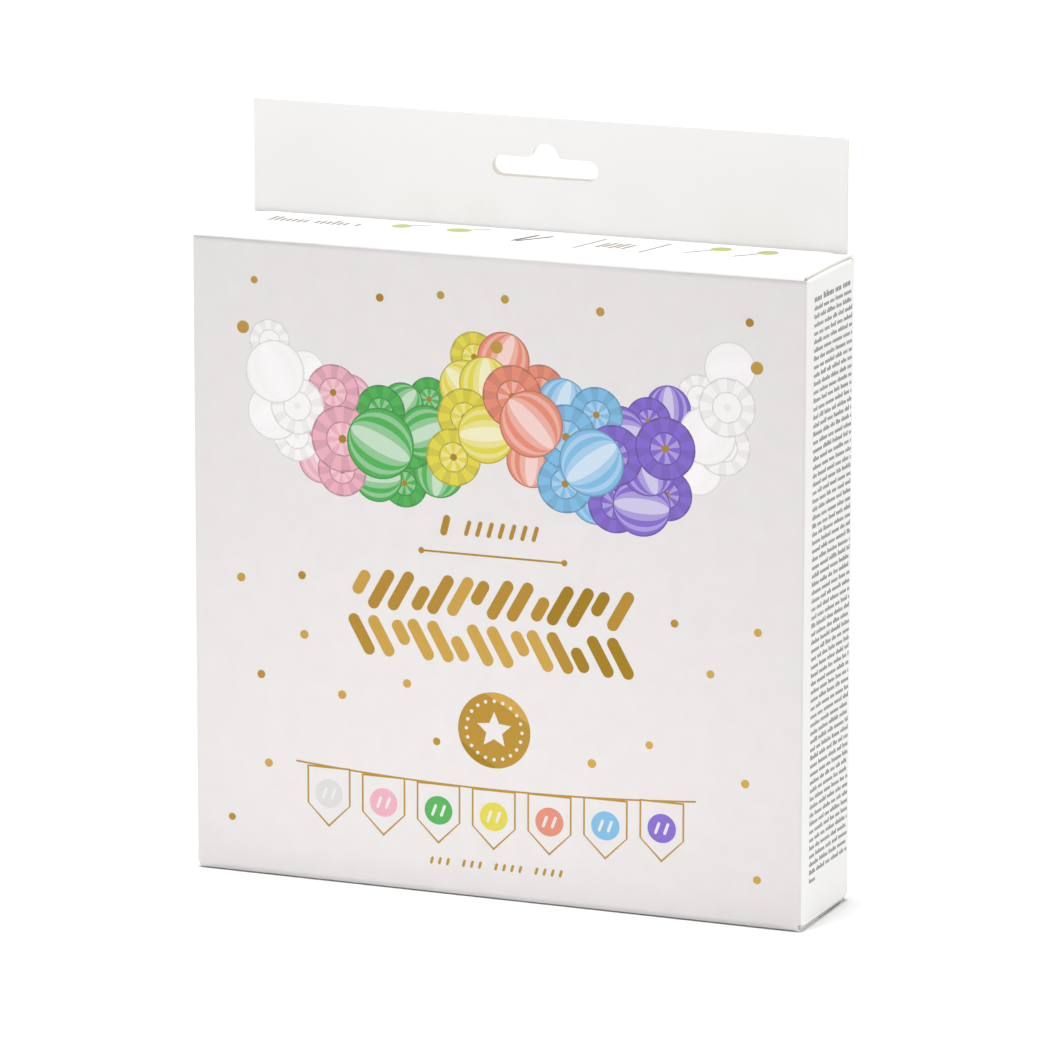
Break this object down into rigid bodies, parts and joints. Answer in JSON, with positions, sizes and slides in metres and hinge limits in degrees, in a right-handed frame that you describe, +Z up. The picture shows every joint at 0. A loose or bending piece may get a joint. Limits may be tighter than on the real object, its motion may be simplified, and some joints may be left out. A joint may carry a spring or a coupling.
{
  "type": "hang-tab retail carton",
  "caption": "Empty, flat folding carton with a creased lid, a tuck flap and dust flaps, and a doubled header with a euro slot to hang it by.",
  "frame": {"origin": "middle of the base, on the surface the carton stands on", "axes": "+Z up, the front panel faces -Y, +X to the right seen from the front"},
  "size_m": [0.19, 0.04, 0.224],
  "materials": {
    "printed_board": "coated white face with coloured inks and gold foil, satin",
    "plain_board": "uncoated, matt"
  },
  "bodies": {
    "carton": {"carton_body": "printed_board"},
    "lid": {"lid": "printed_board"},
    "tuck_flap": {"tuck_flap": "printed_board"},
    "dust_flap_left": {"dust_flap_left": "plain_board"},
    "dust_flap_right": {"dust_flap_right": "plain_board"}
  },
  "joints": [
    {"name": "lid_crease", "type": "hinge", "parent": "carton", "child": "lid", "pos_m": [0, -0.02, 0.18965], "axis": [1, 0, 0], "range_deg": [0, 120]},
    {"name": "tuck_crease", "type": "hinge", "parent": "lid", "child": "tuck_flap", "pos_m": [0, 0.0179, 0.18965], "axis": [1, 0, 0], "range_deg": [-60, 0]},
    {"name": "dust_crease_left", "type": "hinge", "parent": "carton", "child": "dust_flap_left", "pos_m": [-0.0944, 0, 0.18845], "axis": [0, 1, 0], "range_deg": [0, 80]},
    {"name": "dust_crease_right", "type": "hinge", "parent": "carton", "child": "dust_flap_right", "pos_m": [0.0944, 0, 0.18845], "axis": [0, -1, 0], "range_deg": [0, 80]}
  ],
  "couplings": [
    {"joint": "tuck_crease", "follows": "lid_crease", "ratio": -0.5}
  ]
}
